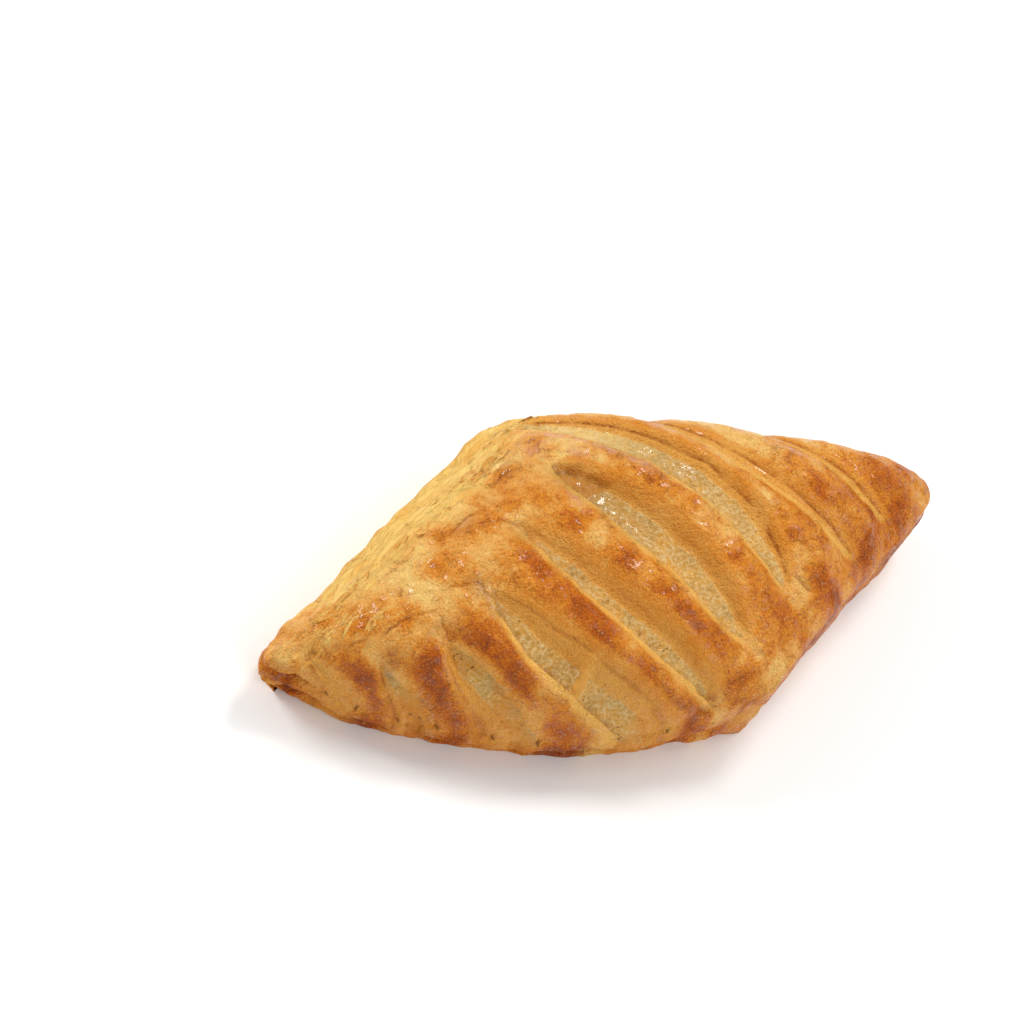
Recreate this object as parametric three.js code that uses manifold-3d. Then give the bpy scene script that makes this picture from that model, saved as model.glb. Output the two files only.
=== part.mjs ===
// Apricot puff pastry: one baked piece with a rhomboid plan. A slashed top sheet domes over it,
// the two long sides are walls of leafy dough, and the two cut ends roll over above a waist.
// Millimetres, +Z up. The long diagonal runs along X and the base lies on Z = 0.

import * as THREE from 'three';
import { mergeVertices } from 'three/addons/utils/BufferGeometryUtils.js';
import Module from 'manifold-3d';

// --- driving dimensions ---------------------------------------------------------------------

const SIDE = 74; // length of the near long side, along the band of dough it was cut from
const SKEW = 5; // the far long side is this much shorter, at the near cut end
const BAND_WIDTH = 72; // from one long side to the other
const CUT_ANGLE = THREE.MathUtils.degToRad(51.4); // between a cut end and a long side
const HEIGHT = 36.5; // crown of the dome
const RIM = 18; // usual height of the top sheet's rim on a long side
const RIM_RISE = 2.5; // the rim is this much higher at the blunt corners, lower at the tips
const END_DROP = 7.5; // the top sheet rolls this much lower in the middle of a cut end
const END_BULGE = { near: 10.3, far: 3 }; // swell of the two cut ends, in plan
const BULGE_SHIFT = 0.08; // the swell is fullest this far towards the far long side
const SIDE_BULGE = { near: 3.6, far: 0.6 }; // belly of the two long walls, in plan
const TIP_ROUNDING = { near: 0, far: 0.11 }; // share of the half diagonal lost at a tip
const CORNER_ROUNDING = { near: -0.04, far: 0.06 }; // at a blunt corner; the near one juts out
const LEAVES = 5; // ridges of leafy dough on a long wall
const LEAF_RELIEF = 0.45; // half the depth of those ridges
const TIP_LEAF_RELIEF = 0.7; // the same at the sharp tips, where the leaves part
const TIP_UNDERCUT = 3.6; // the base is drawn in this far under a sharp tip

// Slashes through the top sheet. x is measured along the band from the near cut end, y across it
// from the near long side: [x, y] at the start and at the end, sideways bow, width and depth.
// A slash that runs out over a cut end is open there.
const SLASHES = [
  { start: [4.6, 4], end: [8, 28], bow: 0.4, width: 1.4, depth: 1.6, open: 'end' },
  { start: [11.4, 16.5], end: [17, 44], bow: -0.8, width: 2.6, depth: 2.8, open: 'end' },
  { start: [20.2, 23], end: [29.6, 61], bow: -2.2, width: 4.6, depth: 3.6, open: 'end' },
  { start: [32.2, 22.5], end: [46.5, 74], bow: -4.6, width: 7, depth: 4, open: 'end' },
  { start: [46.4, 16.5], end: [52.5, 67], bow: -1.6, width: 4.4, depth: 3.8 },
  { start: [62, 13.5], end: [62.8, 63.5], bow: 0.8, width: 7.4, depth: 4.4 },
  { start: [69.6, 1], end: [76.6, 63], bow: 6, width: 7.2, depth: 3.8 },
  { start: [88, 10], end: [95.3, 69], bow: -1.4, width: 1.6, depth: 2, open: 'start' },
  { start: [101, 27], end: [107, 68], bow: 0.6, width: 1.2, depth: 1.5, open: 'start' },
];
const NARROWING = 0.35; // a slash loses this share of its width towards an open end
const CROWN = 1.7; // the strips between slashes puff up by this much
const CROWN_REACH = 4.2; // half width of the soft valley round a slash

const BASE_TRIM = 1; // the form is made this much too deep and cut flat at the base

const TOP_CELLS = [44, 42]; // cells of the top sheet along and across the band
const WALL_CELLS = 2 * LEAVES; // rows of a wall, one up and one down for each leaf
const SLASH_CELLS = [4, 16]; // cells of a slash across and along it

// --- plan and height of the baked form --------------------------------------------------------

// u runs from -1 at the near cut end to 1 at the far one, v from the near long side to the far.

const smoothstep = THREE.MathUtils.smoothstep;
const END_OUT = [Math.sin(CUT_ANGLE), -Math.cos(CUT_ANGLE)]; // out of the far cut end, in plan
const SLANT = 1 / Math.tan(CUT_ANGLE);
const TURN = Math.atan2(BAND_WIDTH, SIDE + BAND_WIDTH * SLANT); // band against the diagonal

// Crowds the cells towards the edges, where the dough falls steeply.
const crowd = (t, share) => (1 - share) * t + share * Math.sin((Math.PI * t) / 2);

const spread = (u, v) => [crowd(u, 0.65), crowd(v, 0.35)];

const swell = (t) => Math.cos((Math.PI * t) / 2);

function endBulge(U, v) {
  const along = swell(v - BULGE_SHIFT * (1 - v * v));
  return U * U * along * (U > 0 ? END_BULGE.far : -END_BULGE.near);
}

function footprint(u, v) {
  const [U, V] = spread(u, v);
  const rounding = U * V > 0 ? TIP_ROUNDING : CORNER_ROUNDING;
  const keep = 1 - (U < 0 ? rounding.near : rounding.far) * (U * V) ** 6;
  const across = (BAND_WIDTH * (V * keep + 1)) / 2;
  const skew = (SKEW * (1 - U) * (1 + V)) / 4;
  const along = (SIDE * (U * keep + 1)) / 2 + SLANT * across + skew;
  const out = endBulge(U, v);
  return [along + END_OUT[0] * out, across + END_OUT[1] * out];
}

function domeHeight(u, v) {
  const [U, V] = spread(u, v);
  const drop = END_DROP * Math.abs(U) ** 8 * Math.max(0, 1 - V * V) ** 0.6;
  const rim = RIM - RIM_RISE * U * V - drop;
  const lengthwise = Math.max(0, 1 - Math.abs(U) ** 3) ** 0.62;
  const crosswise = Math.max(0, 1 - Math.abs(V) ** 2.4) ** 0.75;
  return rim + (HEIGHT - CROWN - rim) * lengthwise * crosswise;
}

// Finds u and v for a place in plan, by steps on the straight rhomboid.
function cellAt(x, y) {
  let [u, v] = [0, 0];
  for (let i = 0; i < 40; i++) {
    const [px, py] = footprint(u, v);
    const dv = (2 * (y - py)) / BAND_WIDTH;
    const du = (2 * (x - px - SLANT * (y - py))) / SIDE;
    u = THREE.MathUtils.clamp(u + 0.7 * du, -1, 1);
    v = THREE.MathUtils.clamp(v + 0.7 * dv, -1, 1);
  }
  return [u, v];
}

const slashX = ({ start, end, bow }, t) =>
  THREE.MathUtils.lerp(start[0], end[0], t) + bow * 4 * t * (1 - t);

// Puffed strips: the sheet rises between the slashes and sinks in a soft valley along each.
function puff(x, y) {
  let valley = 0;
  for (const slash of SLASHES) {
    const [y0, y1] = [slash.start[1], slash.end[1]];
    const t = THREE.MathUtils.clamp((y - y0) / (y1 - y0), 0, 1);
    const inRange = smoothstep(y, y0 - 5, y0 + 3) * (1 - smoothstep(y, y1 - 3, y1 + 5));
    const aside = (x - slashX(slash, t)) / CROWN_REACH;
    valley = Math.max(valley, inRange * Math.exp(-aside * aside));
  }
  return CROWN * (1 - valley);
}

// --- walls ------------------------------------------------------------------------------------

// Share of the belly of a long wall, and the offset of a cut end, at five heights from the rim
// down to the base: lip, waist and foot of the two sheets.
const BELLY = [0, 0.9, 1, 0.55, -0.3];
const ROLL = [0, 0.9, -3, -0.9, -2.8];

function profile(stops, s) {
  const at = Math.min(s, 0.9999) * (stops.length - 1);
  const i = Math.floor(at);
  return THREE.MathUtils.lerp(stops[i], stops[i + 1], smoothstep(at - i, 0, 1));
}

// How far a wall stands out of the footprint at depth s, and in which direction.
function wallOffset(u, v, s) {
  const endShare = u ** 8 / (u ** 8 + v ** 8 + Number.EPSILON);
  const belly = v < 0 ? SIDE_BULGE.near : SIDE_BULGE.far;
  const tip = Math.max(0, u * v) ** 6;
  const relief = THREE.MathUtils.lerp(LEAF_RELIEF, TIP_LEAF_RELIEF, tip);
  const inside = s > 0 && s < 1 ? 1 : 0;
  const leaf = inside * relief * Math.cos(2 * Math.PI * LEAVES * s + Math.PI);
  const roll = profile(ROLL, s) * endShare * (1 - Math.abs(u * v) ** 6);
  const far = profile(BELLY, s) * belly * (1 - endShare) + roll
    + leaf * Math.max(1 - endShare, tip) - TIP_UNDERCUT * tip * smoothstep(s, 0.3, 0.9);
  const out = new THREE.Vector2(END_OUT[0] * Math.sign(u), END_OUT[1] * Math.sign(u))
    .multiplyScalar(endShare)
    .add(new THREE.Vector2(0, Math.sign(v) * (1 - endShare)))
    .normalize();
  return out.multiplyScalar(far);
}

// --- the closed body --------------------------------------------------------------------------

// Every point of a box with sides of 2 goes to its place on the pastry.
function bodyPoint(u, v, w) {
  const [x, y] = footprint(u, v);
  if (w > 0.9999) return [x, y, domeHeight(u, v) + puff(x, y)];
  const edge = Math.max(Math.abs(u), Math.abs(v));
  const s = (1 - w) / 2;
  const offset = wallOffset(u, v, s).multiplyScalar(edge ** 6);
  const top = domeHeight(u, v) + puff(x, y);
  return [x + offset.x, y + offset.y, THREE.MathUtils.lerp(top, -BASE_TRIM, s)];
}

// Band directions to part directions: the long diagonal comes to lie along X.
const toPart = ([x, y, z]) => [
  x * Math.cos(TURN) + y * Math.sin(TURN),
  x * Math.sin(TURN) - y * Math.cos(TURN),
  z,
];

// A closed geometry needs shared vertices, and so positions alone.
function merge(geometry) {
  geometry.deleteAttribute('normal');
  geometry.deleteAttribute('uv');
  return mergeVertices(geometry, 1e-4);
}

// Moves every vertex of a closed box.
// The box's y axis runs against v, so that its faces still point out after toPart.
function shaped(geometry, place) {
  const merged = merge(geometry);
  const position = merged.getAttribute('position');
  for (let i = 0; i < position.count; i++) {
    const point = place(position.getX(i), -position.getY(i), position.getZ(i));
    position.setXYZ(i, ...toPart(point));
  }
  return merged;
}

const bodyGeometry = () =>
  shaped(new THREE.BoxGeometry(2, 2, 2, ...TOP_CELLS, WALL_CELLS), bodyPoint);

// Width and depth of a slash along it, as shares: nearly nothing at a closed end.
function lensAt(t, open) {
  if (open === 'end' && t > 0.5) return 1 - NARROWING * smoothstep(t, 0.5, 1);
  if (open === 'start' && t < 0.5) return 1 - NARROWING * smoothstep(1 - t, 0.5, 1);
  return Math.max(0.12, Math.sin(Math.PI * THREE.MathUtils.clamp(t, 0, 1)) ** 0.55);
}

// A channel along one slash, open upwards.
function slashGeometry(slash) {
  const [y0, y1] = [slash.start[1], slash.end[1]];
  return shaped(new THREE.BoxGeometry(1, 1, 1, ...SLASH_CELLS, 1), (a, b, c) => {
    const t = b + 0.5;
    const y = THREE.MathUtils.lerp(y0, y1, t);
    const lens = lensAt(t, slash.open);
    const lean = c > 0 ? 0.2 + Math.max(0, 2 * a) : 0;
    const x = slashX(slash, t) + a * (slash.width + 2 * lean) * lens;
    const sunk = slash.depth * lens * (1 - 1.2 * a * a);
    const floor = domeHeight(...cellAt(x, y)) - sunk;
    return [x, y, c > 0 ? HEIGHT + 5 : floor];
  });
}

// A wedge that parts two leaves at a sharp tip.
const TIP_GAPS = [5, 10]; // heights of the gaps
const TIP_GAP = { reach: 9, mouth: 1.7, breadth: 26 };

function tipGapGeometry(height, sign, tipX) {
  const geometry = new THREE.BoxGeometry(TIP_GAP.reach + 6, TIP_GAP.breadth, 1);
  const position = geometry.getAttribute('position');
  for (let i = 0; i < position.count; i++) {
    const outer = position.getX(i) * sign > 0;
    const half = outer ? TIP_GAP.mouth / 2 : 0.15;
    const x = outer ? tipX + 6 * sign : tipX - TIP_GAP.reach * sign;
    position.setXYZ(i, x, position.getY(i), height + Math.sign(position.getZ(i)) * half);
  }
  return merge(geometry);
}

// --- booleans ---------------------------------------------------------------------------------

const wasm = await Module();
wasm.setup();

function solidOf(geometry) {
  const mesh = new wasm.Mesh({
    numProp: 3,
    vertProperties: new Float32Array(geometry.getAttribute('position').array),
    triVerts: new Uint32Array(geometry.index.array),
  });
  return new wasm.Manifold(mesh);
}

function geometryOf(solid) {
  const mesh = solid.getMesh();
  const geometry = new THREE.BufferGeometry();
  geometry.setAttribute('position', new THREE.BufferAttribute(mesh.vertProperties, 3));
  geometry.setIndex(new THREE.BufferAttribute(mesh.triVerts, 1));
  return geometry;
}

function pastryGeometry() {
  const body = bodyGeometry();
  body.computeBoundingBox();
  const { min, max } = body.boundingBox;
  const below = new THREE.BoxGeometry(4 * SIDE, 4 * SIDE, 10).translate(0, 0, -5);
  let solid = solidOf(body).subtract(solidOf(merge(below)));
  for (const slash of SLASHES) solid = solid.subtract(solidOf(slashGeometry(slash)));
  for (const height of TIP_GAPS) {
    for (const [sign, tipX] of [[-1, min.x], [1, max.x]]) {
      const gap = tipGapGeometry(height, sign, tipX);
      solid = solid.subtract(solidOf(gap));
    }
  }
  const geometry = geometryOf(solid);
  geometry.translate(-(min.x + max.x) / 2, -(min.y + max.y) / 2, 0);
  geometry.computeVertexNormals();
  return geometry;
}

// --- the part ---------------------------------------------------------------------------------

const crust = new THREE.MeshStandardMaterial({ color: 0xd9923f, roughness: 0.5, metalness: 0 });

const pastry = new THREE.Mesh(pastryGeometry(), crust);
pastry.name = 'pastry';

const group = new THREE.Group();
group.add(pastry);

export default group;
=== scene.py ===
"""Apricot puff pastry: a rhomboid piece of slashed, egg-washed puff dough, baked golden."""

import logging
import math
from dataclasses import dataclass
from enum import Enum
from typing import Any, Callable

import bmesh
import bpy
import numpy as np
from mathutils import Matrix, Vector
from mathutils.bvhtree import BVHTree


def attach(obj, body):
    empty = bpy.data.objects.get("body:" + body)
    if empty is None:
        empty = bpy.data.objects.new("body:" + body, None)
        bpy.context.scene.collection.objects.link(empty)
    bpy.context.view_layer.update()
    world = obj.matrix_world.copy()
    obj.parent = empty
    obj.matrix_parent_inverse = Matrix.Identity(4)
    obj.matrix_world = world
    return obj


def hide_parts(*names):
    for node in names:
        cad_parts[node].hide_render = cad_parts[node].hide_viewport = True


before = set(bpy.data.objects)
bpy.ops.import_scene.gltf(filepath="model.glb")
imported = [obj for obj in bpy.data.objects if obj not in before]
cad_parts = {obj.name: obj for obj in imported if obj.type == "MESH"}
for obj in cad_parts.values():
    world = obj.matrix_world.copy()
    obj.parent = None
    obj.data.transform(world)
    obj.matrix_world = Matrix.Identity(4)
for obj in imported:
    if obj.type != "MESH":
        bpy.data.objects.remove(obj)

log = logging.getLogger("pastry")
MM = 0.001
BODY = "root"
NODE = "pastry"
AWAY = 30.0  # distance in mm that stands for no slash near by

Pair = tuple[float, float]
Triple = tuple[float, float, float]
Values = dict[str, np.ndarray]


# --- small numeric helpers ---


def smooth(low: float, high: float, value: np.ndarray) -> np.ndarray:
    """Smooth step from 0 at low to 1 at high, also with low above high."""
    t = np.clip((value - low) / (high - low), 0.0, 1.0)
    return t * t * (3.0 - 2.0 * t)


# Large odd numbers and shifts that scatter a cell's whole numbers over all 32-bit values.
CELL_MIX = np.array([374761393, 668265263, 1442695041], np.int64)
SEED_MIX = 7919
MIXES = ((13, 1274126177), (16, 2246822519))
LAST_SHIFT = 15
WORD = 0xFFFFFFFF


@dataclass(frozen=True)
class Lumps:
    """Seeded value noise over points in millimetres."""

    seed: int

    def _corner(self, cell: np.ndarray) -> np.ndarray:
        """A fixed value from -1 to 1 for every whole-number cell."""
        mixed = cell @ CELL_MIX + self.seed * SEED_MIX
        for shift, factor in MIXES:
            mixed = (mixed ^ (mixed >> shift)) * factor & WORD
        return (mixed ^ (mixed >> LAST_SHIFT)) / 2.0**31 - 1.0

    def _layer(self, points: np.ndarray) -> np.ndarray:
        """One layer of noise with cells of size 1."""
        base = np.floor(points).astype(np.int64)
        t = points - base
        t = t * t * t * (t * (t * 6.0 - 15.0) + 10.0)
        total = np.zeros(len(points))
        for corner in np.ndindex(2, 2, 2):
            shares = np.where(np.array(corner) == 1, t, 1.0 - t)
            total += shares.prod(axis=1) * self._corner(base + corner)
        return total

    def at(self, points: np.ndarray, size: float | tuple[float, ...], layers: int = 1) -> np.ndarray:
        """Noise of the given cell size.

        Args:
            points: rows of x, y, z in millimetres.
            size: cell size in millimetres, one number or one for each axis.
            layers: how many layers, each half the size and half the strength of the last.

        Returns:
            Values that stay about between -1 and 1.
        """
        cells = points / np.asarray(size, float)
        total = np.zeros(len(points))
        for layer in range(layers):
            total += self._layer(cells * 2.0**layer + 17.3 * layer) * 0.5**layer
        return total


# --- the form of the dough ---


class OpenAt(Enum):
    """Where a slash runs out over a cut end."""

    NOWHERE = 0
    START = 1
    END = 2


class LipAt(Enum):
    """Which skin edge of a slash is the crisp, steep one."""

    NEAR = -1
    FAR = 1


@dataclass(frozen=True)
class Web:
    """A strand of skin that still spans a slash."""

    y: float
    half: float
    lift: float


@dataclass(frozen=True)
class Slash:
    """A slash through the top sheet, along y in the dough band.

    It drops steeply at its lip, has a bubbly floor over a share of its width, and rises from
    there over a soft side and flank to the next strip.
    """

    BLUNT = 0.55  # power of the sine that closes an end: the smaller, the blunter
    UNEVEN = 0.12  # share by which the edges wander
    STEEP = 0.7  # mm over which the lip drops, at most
    CREASE = 0.6  # half width of the crease along the far edge, in mm

    start: Pair
    end: Pair
    bow: float
    width: float
    depth: float
    open_at: OpenAt = OpenAt.NOWHERE
    lip_at: LipAt = LipAt.NEAR
    floor: float = 0.9
    flank: float = 3.0
    rim: float = 2.0
    fold: float = 0.3
    webs: tuple[Web, ...] = ()
    narrowing: float = 0.35
    full_at: float = 0.5
    shallow: float = 0.0

    def share(self, y: np.ndarray) -> np.ndarray:
        """How far along the slash y is, from 0 to 1 inside it."""
        return (y - self.start[1]) / (self.end[1] - self.start[1])

    def middle(self, y: np.ndarray) -> np.ndarray:
        """x of the middle line at y."""
        t = np.clip(self.share(y), 0.0, 1.0)
        return self.start[0] + (self.end[0] - self.start[0]) * t + self.bow * 4.0 * t * (1.0 - t)

    def lens(self, y: np.ndarray) -> np.ndarray:
        """Share of the full width and depth at y, nothing at a closed end."""
        t = self.share(y)
        shape = np.sin(np.pi * np.clip(t, 0.0, 1.0)) ** self.BLUNT
        if self.open_at is OpenAt.END:
            opening = np.sin(np.pi / 2.0 * np.clip(t / self.full_at, 0.0, 1.0)) ** self.BLUNT
            shape = opening * (1.0 - self.narrowing * smooth(self.full_at, 1.0, t))
        if self.open_at is OpenAt.START:
            shape = np.where(t < 0.5, 1.0 - self.narrowing * smooth(0.5, 0.0, t), shape)
        return shape

    def sides(self, y: np.ndarray) -> tuple[np.ndarray, np.ndarray]:
        """x of the two skin edges at y, a little uneven."""
        half = (self.width / 2.0 + 0.2) * self.lens(y)
        spot = np.stack([np.full_like(y, self.width * 31.0), y, np.zeros_like(y)], 1)
        left = half * (1.0 + self.UNEVEN * Lumps(5).at(spot, 7.0, 2))
        right = half * (1.0 + self.UNEVEN * Lumps(6).at(spot, 6.0, 2))
        middle = self.middle(y)
        return middle - left, middle + right

    def section(self, x: np.ndarray, y: np.ndarray) -> Values:
        """Distances across the slash, all in mm.

        Args:
            x: places along the band.
            y: places across it.

        Returns:
            lip past the steep edge, bed past the floor, flank past the far skin edge,
            wide for the width there, and opened for how open it is.
        """
        left, right = self.sides(y)
        opened = self.lens(y)
        wide = right - left
        lip = x - left if self.lip_at is LipAt.NEAR else right - x
        return {
            "lip": lip,
            "bed": lip - self.floor * wide,
            "flank": lip - wide,
            "wide": wide,
            "opened": opened,
        }

    def web(self, part: Values, y: np.ndarray) -> np.ndarray:
        """Share of the depth that webs fill."""
        lip = part["lip"]
        filled = np.zeros_like(y)
        for strand in self.webs:
            off = (y - strand.y + 0.25 * lip) / strand.half
            filled = np.maximum(filled, strand.lift * np.exp(-off * off))
        return filled * smooth(-0.3, 0.6, lip) * smooth(0.5, -0.5, part["flank"])

    def cut(self, part: Values, y: np.ndarray, share: float, floor_rise: float) -> np.ndarray:
        """Depth below the skin.

        Args:
            part: what section() gives.
            y: places across the band.
            share: share of the nominal depth.
            floor_rise: share of the depth that the floor rises away from the lip.

        Returns:
            Depth in mm.
        """
        lip, bed = part["lip"], part["bed"]
        deep = self.depth * part["opened"] ** 0.8 * share * (1.0 - self.shallow * smooth(24.0, 6.0, y))
        rim_drop = 0.42 * self.rim * part["opened"] * np.exp(np.minimum(lip, 0.0) / (0.7 * self.rim))
        rim_drop = np.minimum(rim_drop, 0.5 * deep)
        steep = np.minimum(self.STEEP, 0.25 * part["wide"] + 1e-6)
        drop = smooth(0.0, 1.0, lip / steep)
        across = np.clip(lip / np.maximum(part["wide"] * self.floor, 1e-6), 0.0, 1.0)
        inner = deep * (1.0 - floor_rise * across)
        reach = np.maximum((1.0 - self.floor) * part["wide"] + self.flank * part["opened"], 0.3)
        outer = deep * (1.0 - floor_rise) * np.clip(1.0 - bed / reach, 0.0, 1.0) ** 1.6
        depth = np.where(lip < 0, rim_drop, np.where(bed < 0, rim_drop + (inner - rim_drop) * drop, outer))
        crease = self.fold * part["opened"] * np.exp(-((part["flank"] / self.CREASE) ** 2))
        depth = np.where(part["opened"] > 0, depth + crease, 0.0)
        return depth * (1.0 - self.web(part, y))


NEAR, FAR = LipAt.NEAR, LipAt.FAR
START, END = OpenAt.START, OpenAt.END
SLASHES = (
    Slash((4.2, 4.6), (6.4, 24.0), 0.2, 1.7, 2.3, END, FAR, floor=0.3, flank=0.9, rim=0.6, fold=0.3),
    Slash((11.0, 15.5), (17.4, 40.0), -1.9, 2.3, 3.0, END, FAR, floor=0.6, flank=0.7, rim=0.6, fold=0.35),
    Slash(
        (20.2, 23.0), (29.8, 54.0), -2.9, 4.4, 3.2, END, FAR, floor=0.6, flank=0.8, rim=0.8, fold=0.25,
        narrowing=0.75, full_at=0.25,
    ),
    Slash(
        (32.2, 22.5), (44.8, 66.0), -4.2, 7.0, 3.8, END, NEAR, floor=0.68, flank=1.8, rim=2.2, fold=0.2,
        narrowing=0.55, webs=(Web(46.0, 1.0, 0.7),),
    ),
    Slash((46.4, 16.5), (52.5, 67.0), -1.8, 4.4, 3.6, floor=0.76, flank=2.6, rim=2.2, fold=0.1),
    Slash((62.0, 13.5), (62.8, 63.5), 0.8, 7.4, 4.2, floor=0.88, flank=2.8, rim=2.4, fold=0.1),
    Slash(
        (69.9, 1.4), (76.6, 63.0), 6.0, 7.2, 3.4, floor=0.82, flank=2.6, rim=1.2, fold=0.5,
        shallow=0.45,
    ),
    Slash((88.0, 10.0), (95.3, 69.0), -1.4, 1.6, 2.0, START, floor=0.3, flank=2.0, rim=1.8, fold=0.4),
    Slash((101.0, 27.0), (107.0, 68.0), 0.6, 1.2, 1.5, START, floor=0.3, flank=1.6, rim=1.4, fold=0.4),
)


@dataclass(frozen=True)
class Dough:
    """Plan, height and walls of the piece, in band directions and millimetres.

    x runs along the band from the near cut end, y across it from the near long side.
    u and v run from -1 to 1 over the plan in those two directions.
    """

    side: float = 74.0
    skew: float = 5.0
    width: float = 72.0
    cut_angle: float = math.radians(51.4)
    height: float = 36.5
    crown: float = 1.7
    crown_reach: float = 4.2
    rim: float = 18.0
    rim_rise: float = 2.5
    end_drop: float = 7.5
    end_bulge: Pair = (10.3, 3.0)
    bulge_shift: float = 0.08
    belly: Pair = (3.6, 0.6)
    tip_rounding: Pair = (0.0, 0.11)
    corner_rounding: Pair = (-0.04, 0.06)
    tip_undercut: float = 3.6
    belly_stops: tuple[float, ...] = (0.0, 0.9, 1.0, 0.55, -0.3)
    roll_stops: tuple[float, ...] = (0.0, 0.9, -3.0, -0.9, -2.8)
    centre: Pair = (70.469, 0.363)

    @property
    def slant(self) -> float:
        """How far a cut end runs along the band for each millimetre across it."""
        return 1.0 / math.tan(self.cut_angle)

    @property
    def turn(self) -> float:
        """Angle between the band and the long diagonal."""
        return math.atan2(self.width, self.side + self.width * self.slant)

    def spread(self, u: np.ndarray, v: np.ndarray) -> tuple[np.ndarray, np.ndarray]:
        """Crowds the cells towards the edges, where the dough falls steeply."""
        return (
            0.35 * u + 0.65 * np.sin(np.pi * u / 2.0),
            0.65 * v + 0.35 * np.sin(np.pi * v / 2.0),
        )

    def plan(self, u: np.ndarray, v: np.ndarray) -> tuple[np.ndarray, np.ndarray]:
        """x and y of a place on the rhomboid with its swollen ends and rounded corners."""
        U, V = self.spread(u, v)
        near = np.where(U * V > 0, self.tip_rounding[0], self.corner_rounding[0])
        far = np.where(U * V > 0, self.tip_rounding[1], self.corner_rounding[1])
        keep = 1.0 - np.where(U < 0, near, far) * (U * V) ** 6
        across = self.width * (V * keep + 1.0) / 2.0
        along = self.side * (U * keep + 1.0) / 2.0 + self.slant * across
        along = along + self.skew * (1.0 - U) * (1.0 + V) / 4.0
        swell = np.cos(np.pi / 2.0 * (v - self.bulge_shift * (1.0 - v * v)))
        out = U * U * swell * np.where(U > 0, self.end_bulge[1], -self.end_bulge[0])
        return along + math.sin(self.cut_angle) * out, across - math.cos(self.cut_angle) * out

    def dome(self, u: np.ndarray, v: np.ndarray) -> np.ndarray:
        """Height of the smooth dome."""
        U, V = self.spread(u, v)
        drop = self.end_drop * np.abs(U) ** 8 * np.maximum(0.0, 1.0 - V * V) ** 0.6
        rim = self.rim - self.rim_rise * U * V - drop
        lengthwise = np.maximum(0.0, 1.0 - np.abs(U) ** 3) ** 0.62
        crosswise = np.maximum(0.0, 1.0 - np.abs(V) ** 2.4) ** 0.75
        return rim + (self.height - self.crown - rim) * lengthwise * crosswise

    def puff(self, x: np.ndarray, y: np.ndarray) -> np.ndarray:
        """Share of the full crown: 1 on the strips, 0 in the valleys along the slashes."""
        valley = np.zeros_like(x)
        for slash in SLASHES:
            y0, y1 = slash.start[1], slash.end[1]
            inside = smooth(y0 - 5.0, y0 + 3.0, y) * (1.0 - smooth(y1 - 3.0, y1 + 5.0, y))
            aside = (x - slash.middle(y)) / self.crown_reach
            valley = np.maximum(valley, inside * np.exp(-aside * aside))
        return 1.0 - valley

    def stop(self, stops: tuple[float, ...], s: np.ndarray) -> np.ndarray:
        """Smooth value between evenly spaced stops down a wall."""
        place = np.minimum(s, 0.9999) * (len(stops) - 1)
        low = np.floor(place).astype(int)
        step = smooth(0.0, 1.0, place - low)
        table = np.array(stops)
        return table[low] * (1.0 - step) + table[low + 1] * step

    def end_share(self, u: np.ndarray, v: np.ndarray) -> np.ndarray:
        """1 on a cut end, 0 on a long side, mixed round a corner."""
        return u**8 / (u**8 + v**8 + 1e-12)

    def outward(self, u: np.ndarray, v: np.ndarray) -> tuple[np.ndarray, np.ndarray]:
        """Plan direction in which a wall faces."""
        share = self.end_share(u, v)
        x = math.sin(self.cut_angle) * np.sign(u) * share
        y = -math.cos(self.cut_angle) * np.sign(u) * share + np.sign(v) * (1.0 - share)
        length = np.hypot(x, y) + 1e-12
        return x / length, y / length

    def wall(self, u: np.ndarray, v: np.ndarray, s: np.ndarray) -> np.ndarray:
        """How far a wall stands out of the plan at depth s, without its leaves."""
        share = self.end_share(u, v)
        tip = np.maximum(0.0, u * v) ** 6
        belly = np.where(v < 0, self.belly[0], self.belly[1])
        roll = self.stop(self.roll_stops, s) * share * (1.0 - np.abs(u * v) ** 6)
        return (
            self.stop(self.belly_stops, s) * belly * (1.0 - share)
            + roll
            - self.tip_undercut * tip * smooth(0.3, 0.9, s)
        )

    def placed(self, x: np.ndarray, y: np.ndarray, z: np.ndarray) -> np.ndarray:
        """Rows of part coordinates in metres, with the long diagonal along X."""
        cos, sin = math.cos(self.turn), math.sin(self.turn)
        part_x = x * cos + y * sin - self.centre[0]
        part_y = x * sin - y * cos - self.centre[1]
        return np.stack([part_x, part_y, z], 1) * MM


DOUGH = Dough()


@dataclass(frozen=True)
class Crack:
    """A fine crack in the skin, from one place to another in the band."""

    start: Pair
    end: Pair
    width: float = 0.35
    depth: float = 0.5

    def share(self, x: np.ndarray, y: np.ndarray) -> np.ndarray:
        """1 in the crack and 0 away from it, along a slightly wandering line."""
        line = np.subtract(self.end, self.start)
        length = float(np.hypot(*line))
        along = ((x - self.start[0]) * line[0] + (y - self.start[1]) * line[1]) / length
        aside = ((y - self.start[1]) * line[0] - (x - self.start[0]) * line[1]) / length
        spot = np.stack([along, np.full_like(along, self.start[0]), np.zeros_like(along)], 1)
        aside = aside + 0.45 * Lumps(9).at(spot, 1.7, 2)
        ends = smooth(-0.4, 1.2, along) * smooth(length + 0.4, length - 1.2, along)
        return ends * np.exp(-((aside / self.width) ** 2))


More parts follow.
